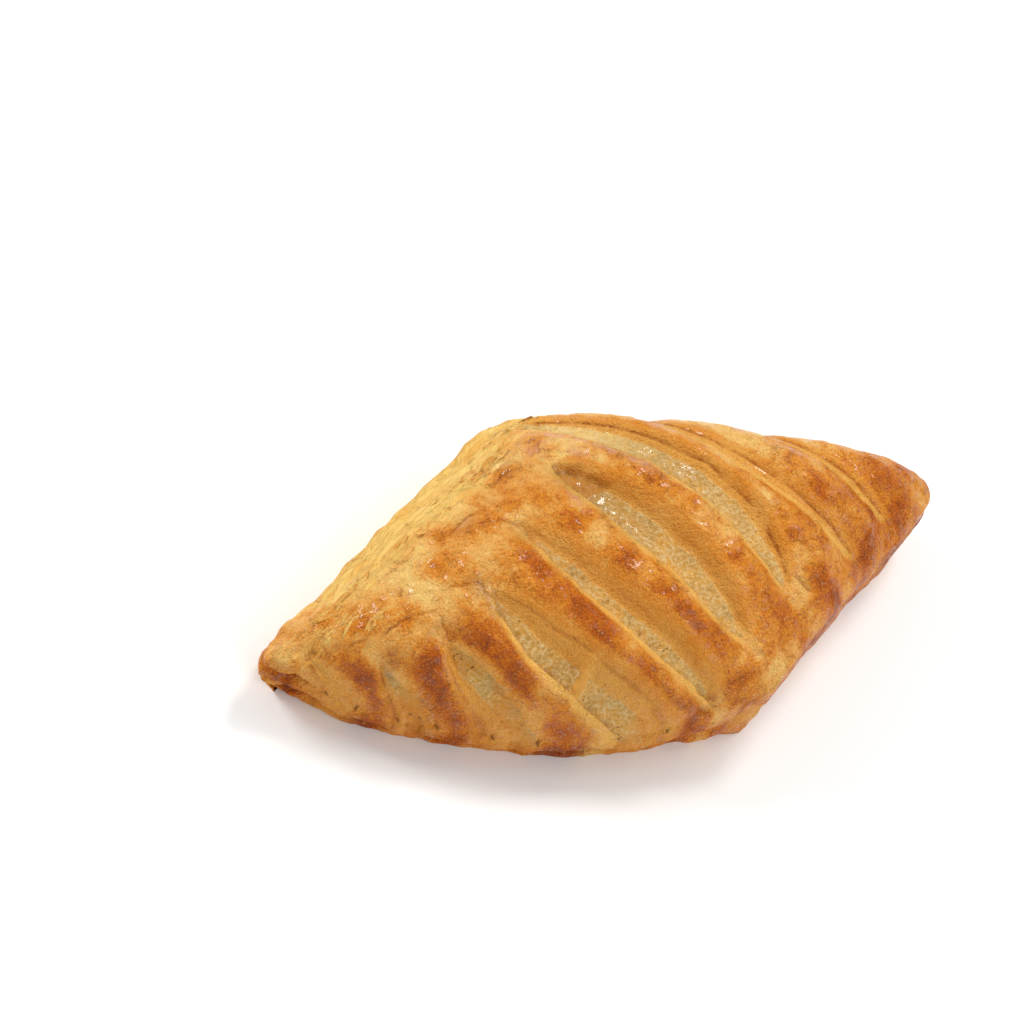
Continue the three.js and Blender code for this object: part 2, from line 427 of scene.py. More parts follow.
CRACKS = (
    Crack((13.1, 12.8), (19.5, 14.6), 0.22, 0.6),
    Crack((19.0, 14.4), (22.5, 17.5), 0.2, 0.3),
    Crack((26.0, 15.5), (30.5, 18.5), 0.2, 0.3),
    Crack((30.5, 18.5), (31.5, 23.5), 0.25, 0.4),
    Crack((22.5, 17.5), (21.0, 23.5), 0.25, 0.35),
    Crack((68.3, 2.4), (73.0, 5.6), 0.6, 0.5),
    Crack((60.8, 15.4), (62.6, 15.8), 0.6, 0.7),
    Crack((62.6, 15.8), (64.2, 19.5), 0.75, 0.9),
    Crack((64.2, 19.5), (65.4, 25.0), 0.5, 0.6),
    Crack((79.3, 61.5), (80.3, 66.4), 0.35, 0.7),
    Crack((54.5, 68.5), (58.0, 71.3), 0.45, 0.7),
    Crack((50.0, 61.5), (52.5, 66.5), 0.4, 0.6),
    Crack((44.5, 63.6), (51.4, 66.0), 0.4, 0.9),
    Crack((45.0, 14.0), (46.2, 18.0), 0.25, 0.3),
    Crack((8.0, 9.0), (12.0, 11.0), 0.25, 0.4),
    Crack((36.0, 9.0), (44.0, 9.6), 0.25, 0.35),
    Crack((50.0, 8.0), (57.0, 9.0), 0.25, 0.35),
)


@dataclass(frozen=True)
class Patch:
    """A soft round patch on the skin: place in the band, radius and strength."""

    x: float
    y: float
    radius: float
    strength: float
    stretch: float = 1.0

    def share(self, x: np.ndarray, y: np.ndarray) -> np.ndarray:
        """The patch's strength at each place."""
        reach = np.hypot((x - self.x), (y - self.y) / self.stretch) / self.radius
        return self.strength * np.exp(-reach * reach)


def strongest(patches: tuple[Patch, ...], x: np.ndarray, y: np.ndarray) -> np.ndarray:
    """The largest share of several patches at each place."""
    return np.max([patch.share(x, y) for patch in patches], axis=0)


# Brown patches on the strips, painted pink reflections near the crown, browned floors and wet gloss.
TOASTED = (
    Patch(25.2, 34.0, 3.2, 0.42, 2.6),
    Patch(24.5, 39.5, 2.6, 0.26, 2.2),
    Patch(15.4, 26.0, 3.0, 0.30, 2.2),
    Patch(39.5, 39.5, 2.8, 0.30, 2.4),
    Patch(42.0, 56.0, 3.2, 0.30, 2.2),
    Patch(54.2, 45.0, 2.2, 0.34, 2.6),
    Patch(55.2, 54.0, 3.0, 0.24, 2.0),
    Patch(70.0, 51.5, 3.0, 0.30, 2.0),
    Patch(63.0, 17.0, 1.8, 0.30, 1.6),
    Patch(90.0, 50.0, 3.0, 0.16, 2.6),
    Patch(105.0, 56.0, 3.4, 0.18, 1.6),
    Patch(120.0, 64.0, 2.4, 0.45, 1.0),
    Patch(58.0, 69.5, 3.2, 0.26, 1.0),
    Patch(6.4, 12.0, 3.0, 0.24, 1.6),
    Patch(1.5, 5.0, 2.6, 0.34, 1.0),
    Patch(9.0, 15.0, 2.4, 0.34, 2.0),
    Patch(3.0, 12.0, 1.8, 0.3, 1.8),
    Patch(12.5, 9.5, 2.2, 0.2, 1.0),
    Patch(40.0, 24.0, 3.0, 0.16, 1.6),
    Patch(51.0, 23.0, 3.4, 0.12, 1.8),
)
PINK_REFLECTIONS = (
    Patch(74.5, 12.0, 2.4, 0.9, 1.6),
    Patch(76.0, 21.0, 2.2, 0.6, 2.0),
    Patch(69.0, 9.5, 2.2, 0.8, 1.4),
    Patch(66.5, 16.0, 2.2, 0.7, 1.5),
    Patch(85.0, 22.0, 2.6, 0.8, 1.8),
    Patch(72.5, 27.0, 2.0, 0.7, 1.8),
    Patch(57.0, 22.0, 2.2, 0.6, 1.6),
    Patch(63.0, 9.0, 3.0, 0.6, 1.0),
    Patch(97.0, 34.0, 2.6, 0.5, 2.0),
)
BAKED = (
    Patch(62.5, 19.0, 4.5, 0.3, 1.7),
    Patch(46.6, 19.5, 3.0, 0.28, 2.0),
    Patch(33.0, 25.5, 2.4, 0.24, 1.4),
    Patch(20.6, 25.0, 2.0, 0.2, 1.4),
)
GLAZED = (
    Patch(31.0, 20.5, 2.0, 1.0, 1.4),
    Patch(30.5, 24.5, 1.6, 0.9, 1.6),
    Patch(22.8, 22.0, 1.6, 0.7, 1.4),
    Patch(12.0, 17.0, 1.6, 0.6, 1.4),
    Patch(45.2, 19.5, 1.5, 0.9, 2.2),
    Patch(45.0, 28.0, 1.4, 0.7, 2.6),
    Patch(60.6, 19.0, 2.2, 0.9, 2.2),
    Patch(59.6, 30.0, 1.6, 0.7, 2.6),
    Patch(74.0, 20.0, 3.0, 0.8, 2.4),
    Patch(40.0, 10.0, 2.6, 0.4, 1.0),
    Patch(56.0, 6.0, 3.0, 0.5, 1.0),
)


# --- the body of the pastry ---


# What every vertex carries besides its place, for the finish to read.
CARRIED = (
    "toast", "lip", "flank", "side", "rim", "fold", "inner", "edge",
    "web", "leafy", "deep", "blush", "wet", "pale", "crack",
)


def carry(piece: bpy.types.Object, values: dict[str, Any]) -> None:
    """Gives the vertices their values.

    Args:
        piece: the mesh object.
        values: one number or a row for each name, 0 for a name in CARRIED that it lacks.
    """
    count = len(piece.data.vertices)
    for name in CARRIED:
        row = np.full(count, values.get(name, 0.0), np.float32)
        piece.data.attributes.new(name, "FLOAT", "POINT").data.foreach_set("value", row)


def grown(bm: bmesh.types.BMesh, border: list[Any]) -> tuple[list[Any], list[Any]]:
    """Extrudes a border of edges in place.

    Args:
        bm: mesh to add to.
        border: the open edges.

    Returns:
        The new vertices and the new border.
    """
    made = bmesh.ops.extrude_edge_only(bm, edges=border)["geom"]
    ring = [item for item in made if isinstance(item, bmesh.types.BMVert)]
    return ring, [item for item in made if isinstance(item, bmesh.types.BMEdge) and item.is_boundary]


@dataclass
class Place:
    """Where vertices lie.

    u, v and s are places on the block, s from 0 on the top sheet to 1 at the base. x and y are
    places in the band and deep the distance down the wall, in mm. ends is 1 on a cut end.
    """

    u: np.ndarray
    v: np.ndarray
    s: np.ndarray
    x: np.ndarray
    y: np.ndarray
    deep: np.ndarray
    ends: np.ndarray

    @property
    def spots(self) -> np.ndarray:
        """Rows of x, y and depth."""
        return np.stack([self.x, self.y, self.deep], 1)


@dataclass
class CrustBody:
    """The baked body: domed top sheet with its slashes, leafy walls, rolled ends and flat base."""

    name: str = "Pastry_crust"
    cells_along: int = 250
    cells_across: int = 226
    wall_rows: int = 34
    base_inset: float = 0.985
    snap_reach: int = 2
    snap_gap: float = 0.4
    snap_wide: float = 1.3
    slash_share: float = 0.85
    floor_rise: float = 0.2
    plump: float = 0.5
    blister: float = 0.9
    wrinkle: float = 0.22
    pore: float = 1.8
    ragged: float = 0.5
    leaf_step: float = 0.38
    flaky: float = 0.3
    tip_gaps: tuple[float, ...] = (4.6, 8.2, 11.6)
    tip_gap_depth: float = 2.0
    body: Dough = DOUGH

    def blank(self) -> bpy.types.Object:
        """A closed block: x and y are u and v, and -z is the depth down the wall.

        Returns:
            The mesh object, linked to the scene.
        """
        bm = bmesh.new()
        bmesh.ops.create_grid(bm, x_segments=self.cells_along, y_segments=self.cells_across, size=1.0)
        border = [edge for edge in bm.edges if edge.is_boundary]
        for _ in range(self.wall_rows):
            ring, border = grown(bm, border)
            bmesh.ops.translate(bm, verts=ring, vec=(0.0, 0.0, -1.0 / self.wall_rows))
        ring, border = grown(bm, border)
        bmesh.ops.scale(bm, verts=ring, vec=(self.base_inset, self.base_inset, 1.0))
        bmesh.ops.contextual_create(bm, geom=border)
        return new_object(bm, self.name)

    def snapped(self, u: np.ndarray, v: np.ndarray) -> np.ndarray:
        """Moves grid columns sideways so that a vertex of every row lies on each slash edge.

        Args:
            u: values of the top grid, as rows across and columns along.
            v: values of the top grid, in the same layout.

        Returns:
            The moved u values.
        """
        shape = u.shape
        x, y = (part.reshape(shape) for part in self.body.plan(u.ravel(), v.ravel()))
        slope = np.gradient(x, axis=1) / np.gradient(u, axis=1)
        moved = u.copy()
        rows = np.arange(shape[0])
        for slash in SLASHES:
            edges = [side.reshape(shape) for side in slash.sides(y.ravel())]
            wide = edges[1] - edges[0]
            for edge in edges:
                gap = edge - x
                column = np.abs(gap).argmin(axis=1)
                here = gap[rows, column]
                fits = (wide[rows, column] > self.snap_wide) & (np.abs(here) < self.snap_gap)
                t = slash.share(y[rows, column])
                fits &= (t > 0.0) & (t < 1.0)
                for step in range(-self.snap_reach, self.snap_reach + 1):
                    share = 1.0 - abs(step) / (self.snap_reach + 1.0)
                    target = np.clip(column + step, 1, shape[1] - 2)
                    shift = here / slope[rows, column] * share
                    moved[rows, target] += np.where(fits, shift, 0.0)
        return moved

    def slashed(self, x: np.ndarray, y: np.ndarray) -> Values:
        """Relief of the slashes and the place of every vertex beside them.

        Args:
            x: places along the band.
            y: places across it.

        Returns:
            depth in mm; lip, bed and flank as Slash.section() has them, for the nearest slash;
            inner for how far inside a floor and edge for how far from a far edge, both in mm;
            and the masks side, rim, fold and web.
        """
        away = np.full_like(x, AWAY)
        none = np.zeros_like(x)
        cut = {"depth": none, "lip": -away, "bed": -away, "flank": away}
        cut |= {"side": none, "rim": none, "fold": none, "web": none, "inner": -away, "edge": away}
        for slash in SLASHES:
            part = slash.section(x, y)
            lip, bed, flank, opened = part["lip"], part["bed"], part["flank"], part["opened"]
            near = (y > slash.start[1] - 4.0) & (y < slash.end[1] + 4.0)
            fits = near & (flank < 0) & (lip > cut["lip"])
            cut["lip"] = np.where(fits, lip, cut["lip"])
            cut["bed"] = np.where(fits, bed, cut["bed"])
            fits = near & (lip > 0) & (flank < cut["flank"])
            cut["flank"] = np.where(fits, flank, cut["flank"])
            shown = np.where(near, smooth(0.0, 0.4, opened), 0.0)
            edge = np.abs(flank) + 3.0 * (1.0 - shown)
            cut["edge"] = np.where(near, np.minimum(cut["edge"], edge), cut["edge"])
            inner = np.minimum(lip, -bed) - 2.0 * (1.0 - shown)
            # rim: the pale cut edge beside a lip, partly its own colour and partly painted highlight on the
            # rounded edge.
            rim = shown * smooth(-1.3 * slash.rim, -0.1, lip) * smooth(0.8, 0.3, lip)
            deepest = slash.cut(part, y, self.slash_share, self.floor_rise)
            larger = {
                "inner": np.where(near, inner, -away),
                # fold also marks where the finish paints shade into the crease.
                "fold": shown * slash.fold * np.exp(-((flank / 2.0) ** 2)),
                "side": shown * smooth(-0.6, 0.2, bed) * smooth(slash.flank + 0.8, slash.flank - 1.0, flank),
                "rim": rim * (1.0 if slash.lip_at is NEAR else 0.5),
                "web": np.where(near, slash.web(part, y), 0.0),
                "depth": np.where(near, deepest, 0.0),
            }
            for name, values in larger.items():
                cut[name] = np.maximum(cut[name], values)
        return cut

    def top_relief(self, x: np.ndarray, y: np.ndarray, cut: Values) -> np.ndarray:
        """Blisters, wrinkles and bubbles of the top sheet.

        Args:
            x: places along the band.
            y: places across it.
            cut: what slashed() gives.

        Returns:
            Height to add, in mm.
        """
        spots = np.stack([x, y, np.zeros_like(x)], 1)
        lip, bed, flank = cut["lip"], cut["bed"], cut["flank"]
        floor = smooth(0.1, 0.8, lip) * smooth(0.3, -0.6, bed)
        strip = smooth(0.0, 3.5, flank) * smooth(0.0, -3.5, lip)
        skin = (
            0.40 * Lumps(1).at(spots, 12.0)
            + 0.30 * Lumps(2).at(spots, 5.0, 2)
            + 0.24 * Lumps(3).at(spots, 2.2, 2)
            + 0.12 * Lumps(4).at(spots, 1.1)
        )
        blister = Lumps(11).at(spots, 3.4)
        skin = skin + self.blister * np.maximum(0.0, blister - 0.5) + self.plump * strip - 0.35
        skin = skin - self.leaf_step * self.rim_steps(x, y)
        tip_flaky = smooth(30.0, 8.0, x) * smooth(26.0, 12.0, y)
        skin = skin + self.flaky * tip_flaky * Lumps(71).at(spots, (3.4, 1.1, 1.0), 2)
        wrinkle = np.exp(-((Lumps(16).at(spots, 4.6, 2) / 0.09) ** 2))
        skin = skin - self.wrinkle * wrinkle * smooth(-0.1, 0.5, Lumps(17).at(spots, 9.0))
        lines = np.stack([flank / 1.4, y / 9.0, np.zeros_like(x)], 1)
        skin = skin * (1.0 - 0.6 * cut["side"]) + 0.12 * cut["side"] * Lumps(15).at(lines, 1.0, 2)
        bubble = 0.30 * Lumps(12).at(spots, 2.6) + 0.20 * np.abs(Lumps(13).at(spots, 1.3))
        bubble = bubble * (1.0 + 1.2 * smooth(34.0, 16.0, y) * smooth(67.0, 70.0, x))
        pore = np.maximum(0.0, Lumps(14).at(spots, 1.4) - 0.55) * smooth(4.5, 1.0, lip)
        return skin * (1.0 - floor) + (bubble - self.pore * pore) * floor

    def rim_steps(self, x: np.ndarray, y: np.ndarray) -> np.ndarray:
        """Torn edges of the upper leaves along the near rim, as low ragged steps.

        Args:
            x: places along the band.
            y: places across it.

        Returns:
            How far each place lies across its leaf, up to 1 at the torn edge.
        """
        spots = np.stack([x, y, np.zeros_like(x)], 1)
        place = (y + 2.4 * Lumps(61).at(spots, (9.0, 3.6, 1.0), 3)) / 2.2
        torn = place - np.floor(place)
        zone = smooth(11.0, 5.0, y) * smooth(0.0, 0.35, Lumps(62).at(spots, 6.0, 2) + 0.3)
        return torn * zone

    def leaves(self, spots: np.ndarray, deep: np.ndarray, along: np.ndarray) -> np.ndarray:
        """Ridges of the leafy dough on a wall, uneven and slightly wavy.

        Args:
            spots: rows of band coordinates.
            deep: distance down from the rim, in mm.
            along: distance along the wall, in mm.

        Returns:
            How far the leaves stand out, in mm.
        """
        wave = 1.8 * Lumps(21).at(spots, 18.0) + 0.8 * Lumps(22).at(spots, 6.0, 2)
        bed = np.stack([(deep + wave) / 2.2, along / 22.0, np.zeros_like(deep)], 1)
        thin = np.stack([(deep + wave) / 0.8, along / 9.0, np.zeros_like(deep)], 1)
        swell = 0.4 * Lumps(25).at(spots, 7.0, 2)
        return swell + 0.4 * Lumps(23).at(bed, 1.0) + 0.24 * Lumps(24).at(thin, 1.0, 2)

    def shape(self, u: np.ndarray, v: np.ndarray, s: np.ndarray) -> tuple[np.ndarray, Values]:
        """Maps the block to the baked form.

        Args:
            u: place along the plan.
            v: place across the plan.
            s: depth down the wall, 0 on the top sheet and 1 at the base.

        Returns:
            Rows of part coordinates in metres, and what the vertices carry.
        """
        form = self.body
        x, y = form.plan(u, v)
        edge = np.maximum(np.abs(u), np.abs(v)) ** 14
        outline = np.stack([x, y, np.zeros_like(x)], 1)
        x = x + self.ragged * edge * Lumps(51).at(outline, 6.0, 2)
        y = y + self.ragged * edge * Lumps(52).at(outline, 6.0, 2)
        cut = self.slashed(x, y)
        crown = form.crown * form.puff(x, y)
        top = form.dome(u, v) + crown - cut["depth"] + self.top_relief(x, y, cut)
        # crack marks where the finish paints the skin dark: painted shade in the cracks and, below, in the
        # gaps between the leaves at the tips.
        crack = np.zeros_like(x)
        for line in CRACKS:
            share = line.share(x, y)
            crack = np.maximum(crack, share)
            top = top - line.depth * share
        down = s * top / (top + 1.0)
        deep = down * (top + 1.0)
        ends = form.end_share(u, v)
        at = Place(u, v, s, x, y, deep, ends)
        spots = at.spots
        tip = np.maximum(0.0, u * v) ** 6
        far = form.wall(u, v, down)
        rows = smooth(0.0, 0.06, s) * smooth(1.0, 0.95, s)
        leafy_wall = (1.0 - ends) * np.where(v < 0, 1.0, 0.55)
        far = far + rows * np.maximum(leafy_wall, tip) * self.leaves(spots, deep, x + y)
        far = far + rows * ends * (0.5 * Lumps(31).at(spots, 6.0) + 0.22 * Lumps(32).at(spots, 1.7))
        near_tip = smooth(14.0, 4.0, np.minimum(np.hypot(x, y), np.hypot(x - 131.0, y - 72.0)))
        height = top - deep
        lift = 0.9 * Lumps(53).at(spots, 5.0)
        for gap in self.tip_gaps:
            open_gap = near_tip * np.exp(-(((height + lift - gap) / 0.6) ** 2))
            far = far - self.tip_gap_depth * open_gap
            crack = np.maximum(crack, np.where(s > 0, open_gap, 0.0))
        out_x, out_y = form.outward(u, v)
        wall = s > 0
        reach = np.maximum(np.abs(u), np.abs(v)) ** 6
        px = x + np.where(wall, out_x * far * reach, 0.0)
        py = y + np.where(wall, out_y * far * reach, 0.0)
        pz = np.where(s > 0.9999, 0.0, np.maximum(height, 0.0))
        return form.placed(px, py, pz), self.dress(at, cut, crack)

    def browning(self, at: Place, cut: Values) -> np.ndarray:
        """How brown the dough is baked, with painted shade and painted light mixed in.

        Args:
            at: where the vertices lie.
            cut: what slashed() gives.

        Returns:
            0 for pale dough, 1 for the darkest brown.
        """
        x, y, wall = at.x, at.y, at.s > 0
        low = smooth(14.0, 36.0, y + 0.25 * (60.0 - x))
        strip = smooth(0.4, 2.4, cut["flank"]) * smooth(-0.3, -1.6, cut["lip"]) * (1.0 - 0.9 * cut["side"])
        left = 1.0 - 0.5 * smooth(30.0, 110.0, x)
        toast = 0.25 + 0.20 * low * strip * left + 0.08 * low
        for patch in TOASTED:
            toast = toast + patch.share(x, y) * (0.3 + 0.7 * strip) * 0.8
        toast = toast + (0.12 + 0.12 * strip) * Lumps(41).at(at.spots, 6.0, 3)
        # Paler round the corner of the near cut end and the far long side, also by the y factors below:
        # partly its golden colour, partly painted light where that corner lies in shade.
        toast = toast - 0.14 * smooth(14.0, 3.0, np.hypot(x - 60.0, y - 70.0))
        toast = np.where(toast > 0.8, 0.8 + (toast - 0.8) * 0.4, toast)
        near_end = smooth(0.80, 0.99, -at.u)
        toast = toast + 0.18 * near_end * smooth(4.0, 20.0, y) * smooth(70.0, 50.0, y)
        # Browner down the walls of the cut ends: partly baked brown, partly painted shade under the rolled
        # ends.
        rolled = at.ends * 0.3 * smooth(0.04, 0.3, at.s) * smooth(74.0, 54.0, y)
        toast = np.where(wall, toast + rolled, toast)
        floor = smooth(-0.2, 0.6, cut["inner"])
        for patch in BAKED:
            toast = toast + floor * patch.share(x, y)
        toast = toast + 0.12 * floor * near_end
        # Browner on the long walls, most on the far one: painted shade.
        painted_wall_shade = np.where(at.v < 0, 0.1 * (1.0 - smooth(4.0, 24.0, x)), 0.32) * (1.0 - at.ends)
        far_rim = 0.2 * smooth(60.0, 71.0, y) * smooth(68.0, 84.0, x)
        return toast + np.where(wall, painted_wall_shade, 0.0) + np.where(wall, 0.0, far_rim)

    def leafiness(self, at: Place) -> np.ndarray:
        """How much the edges of the leaves show.

        Args:
            at: where the vertices lie.

        Returns:
            0 on glazed skin, 1 on open leaves.
        """
        x, y, s = at.x, at.y, at.s
        tip_skin = smooth(4.0, 24.0, x)
        near_rim = smooth(9.5, -1.5, y + 2.6 * Lumps(42).at(at.spots, (8.0, 2.6, 5.0), 3))
        torn = 0.3 * smooth(0.3, 0.05, self.rim_steps(x, y)) * smooth(9.0, 4.0, y)
        near_rim = 0.8 * near_rim * tip_skin + torn
        on_long = (1.0 - at.ends) * (0.3 + 0.7 * tip_skin)
        near_long = 0.8 * on_long + 0.2 * on_long * smooth(0.0, 0.3, s)
        far_long = 0.34 * on_long * smooth(0.05, 0.4, s)
        leafy = np.where(s > 0, np.where(at.v < 0, near_long, far_long), near_rim)
        waist = 0.6 * at.ends * (smooth(0.3, 0.45, s) * smooth(0.72, 0.6, s))
        return np.maximum(leafy, np.where(s > 0, waist, 0.0))

    def wetness(self, at: Place, cut: Values) -> np.ndarray:
        """How wet the surface shines, from 0 to 1.

        Args:
            at: where the vertices lie.
            cut: what slashed() gives.

        Returns:
            The share of gloss.
        """
        x, y = at.x, at.y
        inside = smooth(-0.6, 0.8, cut["lip"]) * smooth(0.6, -0.8, cut["bed"])
        wet = inside * smooth(44.0, 22.0, y) * smooth(54.0, 58.0, x)
        wet = wet * (1.0 - 0.6 * smooth(68.0, 71.0, x) * smooth(26.0, 12.0, y))
        return np.maximum(wet, strongest(GLAZED, x, y))

    def dress(self, at: Place, cut: Values, crack: np.ndarray) -> Values:
        """Gathers what the vertices carry.

        Args:
            at: where the vertices lie.
            cut: what slashed() gives.
            crack: 1 in a crack or in a gap between the leaves at a tip, where shade is painted.

        Returns:
            A row of values for each name in CARRIED.
        """
        return {
            **cut,
            "toast": self.browning(at, cut),
            "leafy": self.leafiness(at),
            "deep": np.where(at.s > 0, at.deep, -1.3 * at.y),
            "blush": strongest(PINK_REFLECTIONS, at.x, at.y),
            "wet": self.wetness(at, cut),
            # pale: upper floors painted cream, partly pale dough and partly painted light where the floor
            # lies in shade.
            "pale": smooth(36.0, 16.0, at.y) * smooth(67.0, 70.0, at.x),
            "crack": crack,
        }

    def build(self) -> bpy.types.Object:
        """Builds the body and gives it its vertex values.

        Returns:
            The finished mesh object, without a material.
        """
        piece = self.blank()
        mesh = piece.data
        flat = np.empty(len(mesh.vertices) * 3)
        mesh.vertices.foreach_get("co", flat)
        u, v, s = flat.reshape(-1, 3).T * np.array([[1.0], [1.0], [-1.0]])
        s = np.clip(s, 0.0, 1.0)
        top = np.flatnonzero(s < 1e-6)
        order = top[np.lexsort((np.round(u[top], 5), np.round(v[top], 5)))]
        grid = (self.cells_across + 1, self.cells_along + 1)
        u[order] = self.snapped(u[order].reshape(grid), v[order].reshape(grid)).ravel()
        places, values = self.shape(u, v, s)
        mesh.vertices.foreach_set("co", places.ravel())
        carry(piece, values)
        tidy_mesh(piece)
        return piece


@dataclass(frozen=True)
class FlakeBed:
    """A stretch of the skin on which flakes lift: x from the slanting cut end and y, in mm."""

    x: Pair
    y: Pair
    count: int


# Pale leafy dough, far from every slash.
FLAKE_VALUES = {"toast": 0.3, "leafy": 0.42, "lip": -AWAY, "inner": -AWAY, "flank": AWAY, "edge": AWAY}


@dataclass
class LeafFlakes:
    """Thin torn flakes of the top leaf, half sunk in the skin, that lift beside the rims."""

    name: str = "Leaf_flakes"
    beds: tuple[FlakeBed, ...] = (
        FlakeBed((6.0, 60.0), (0.8, 5.5), 40),
        FlakeBed((1.0, 8.0), (4.0, 12.0), 8),
    )
    long: Pair = (2.6, 7.0)
    wide: Pair = (0.8, 1.8)
    thick: float = 0.14
    curl: Pair = (0.1, 0.36)
    sunk: float = 0.14
    drop: float = 60.0
    seed: int = 8

    def flake(self, bm: bmesh.types.BMesh, rng: np.random.Generator, where: Matrix) -> None:
        """Adds one flake, pointed at its ends and curled up along one side.

        Args:
            bm: mesh to add to.
            rng: seeded random numbers.
            where: the flake's place, with its length along x and its normal along z, in mm.
        """
        made = bmesh.ops.create_grid(bm, x_segments=6, y_segments=3, size=1.0)["verts"]
        long, wide, curl = (rng.uniform(*span) for span in (self.long, self.wide, self.curl))
        bow = rng.uniform(-0.4, 0.4)
        for vert in made:
            along, aside = vert.co.x, vert.co.y
            taper = 1.0 - 0.75 * abs(along) ** 2.5
            raised = curl * max(0.0, aside + 0.3) ** 2 * taper
            across = wide / 2.0 * (aside * taper + bow * along * along)
            vert.co = (long / 2.0 * along, across, raised - self.sunk)
        bmesh.ops.transform(bm, matrix=where, verts=made)

    def build(self, body: bpy.types.Object) -> bpy.types.Object:
        """Builds all flakes on the body.

        Args:
            body: the finished body that they lie on.

        Returns:
            One mesh object, in metres.
        """
        rng = np.random.default_rng(self.seed)
        tree = BVHTree.FromObject(body, bpy.context.evaluated_depsgraph_get())
        bm = bmesh.new()
        for bed in self.beds:
            for _ in range(bed.count):
                x, y = rng.uniform(*bed.x), rng.uniform(*bed.y)
                x = x + DOUGH.slant * y
                start = Vector(DOUGH.placed(*(np.array([value]) for value in (x, y, self.drop)))[0])
                found, normal, _, _ = tree.ray_cast(start, Vector((0.0, 0.0, -1.0)))
                turn = DOUGH.turn + rng.normal(0.0, 0.14)
                ahead = Vector((math.cos(turn), math.sin(turn), 0.0))
                if found is None:
                    continue
                ahead = (ahead - ahead.dot(normal) * normal).normalized()
                turned = Matrix((ahead, normal.cross(ahead), normal)).transposed().to_4x4()
                self.flake(bm, rng, Matrix.Translation(found / MM) @ turned)
        bmesh.ops.recalc_face_normals(bm, faces=bm.faces[:])
        bmesh.ops.solidify(bm, geom=bm.faces[:], thickness=self.thick)
        bmesh.ops.scale(bm, verts=bm.verts[:], vec=(MM, MM, MM))
        piece = new_object(bm, self.name)
        carry(piece, FLAKE_VALUES)
        tidy_mesh(piece)
        return piece


def new_object(bm: bmesh.types.BMesh, name: str) -> bpy.types.Object:
    """Turns a bmesh into a linked object of that name."""
    mesh = bpy.data.meshes.new(name)
    bm.to_mesh(mesh)
    bm.free()
    piece = bpy.data.objects.new(name, mesh)
    bpy.context.scene.collection.objects.link(piece)
    return piece


def tidy_mesh(piece: bpy.types.Object) -> None:
    """Cuts the faces into triangles, turns them outwards and shades them smooth."""
    bm = bmesh.new()
    bm.from_mesh(piece.data)
    bmesh.ops.recalc_face_normals(bm, faces=bm.faces[:])
    bmesh.ops.triangulate(bm, faces=bm.faces[:], quad_method="SHORT_EDGE", ngon_method="BEAUTY")
    bm.to_mesh(piece.data)
    bm.free()
    piece.data.shade_smooth()


# --- shader expressions ---


def operator(operation: str, swapped: bool = False) -> Callable[["Wire", Any], "Wire"]:
    """A method that joins two values by a Math node.

    Args:
        operation: the node's operation.
        swapped: whether the other value comes first.

    Returns:
        The method.
    """

    def method(self: "Wire", other: Any) -> "Wire":
        """Adds the node."""
        return self.math(operation, *((other, self) if swapped else (self, other)))

    return method


class Wire:
    """A value socket that takes part in arithmetic."""

    def __init__(self, board: "Board", socket: bpy.types.NodeSocket) -> None:
        """Keeps the board and the socket."""
        self.board = board
        self.socket = socket

    def math(self, operation: str, *values: Any) -> "Wire":
        """Adds a Math node."""
        return self.board.node("ShaderNodeMath", {"operation": operation}, dict(enumerate(values))).out(0)

    __add__ = __radd__ = operator("ADD")
    __mul__ = __rmul__ = operator("MULTIPLY")
    __sub__ = operator("SUBTRACT")
    __rsub__ = operator("SUBTRACT", swapped=True)
    __truediv__ = operator("DIVIDE")
    most = operator("MAXIMUM")
    least = operator("MINIMUM")

    def __abs__(self) -> "Wire":
        """Size without sign."""
        return self.math("ABSOLUTE", self)

    def smooth(self, low: float, high: float) -> "Wire":
        """Smooth step from 0 at low to 1 at high."""
        if low > high:
            return 1.0 - self.smooth(high, low)
        settings = {"interpolation_type": "SMOOTHSTEP"}
        inputs = {"Value": self, "From Min": low, "From Max": high}
        return self.board.node("ShaderNodeMapRange", settings, inputs).out("Result")


@dataclass
class Added:
    """A node just added, with its outputs at hand."""

    board: "Board"
    node: bpy.types.Node

    def out(self, key: int | str) -> Wire:
        """One of its outputs."""
        return Wire(self.board, self.node.outputs[key])


